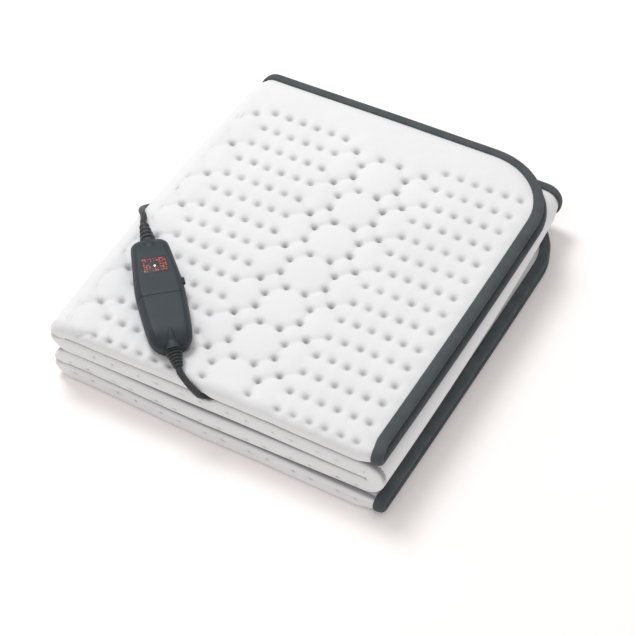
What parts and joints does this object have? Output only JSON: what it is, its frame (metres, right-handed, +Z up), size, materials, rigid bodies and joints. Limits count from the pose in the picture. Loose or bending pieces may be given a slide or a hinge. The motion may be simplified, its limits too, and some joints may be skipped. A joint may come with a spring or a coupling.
{
  "type": "electric heated blanket",
  "caption": "Quilted heated under-blanket with a dark bound edge, folded in half and then in four, with its corded hand controller lying on top.",
  "frame": {"origin": "on the underside, below the middle of the folded blanket and its controller", "axes": "+Z up; the rolled long side faces -Y, the bound short ends face +X"},
  "size_m": [0.3402, 0.4399, 0.0873],
  "materials": {
    "quilted_cloth": "matte",
    "binding_tape": "matte",
    "controller_plastic": "matte",
    "display_glass": "gloss",
    "key_plastic": "matte",
    "cord_rubber": "matte",
    "pin_metal": "satin"
  },
  "bodies": {
    "blanket": {"blanket_cloth": "quilted_cloth", "edge_binding": "binding_tape", "controller_base": "controller_plastic", "controller_cover": "controller_plastic", "controller_cap": "controller_plastic", "display_window": "display_glass", "lead_relief": "cord_rubber", "mains_relief": "cord_rubber", "blanket_lead": "cord_rubber", "lead_socket": "cord_rubber", "socket_relief": "cord_rubber", "mains_lead": "cord_rubber", "mains_hank": "cord_rubber", "mains_tail": "cord_rubber", "hank_tie": "key_plastic", "plug_body": "cord_rubber", "plug_relief": "cord_rubber", "plug_pin_left": "pin_metal", "plug_pin_right": "pin_metal"},
    "key": {"side_key": "key_plastic"}
  },
  "joints": [
    {"name": "key_slide", "type": "slide", "parent": "blanket", "child": "key", "axis": [0.6468, -0.7627, 0], "range_m": [0, 0.005]}
  ]
}
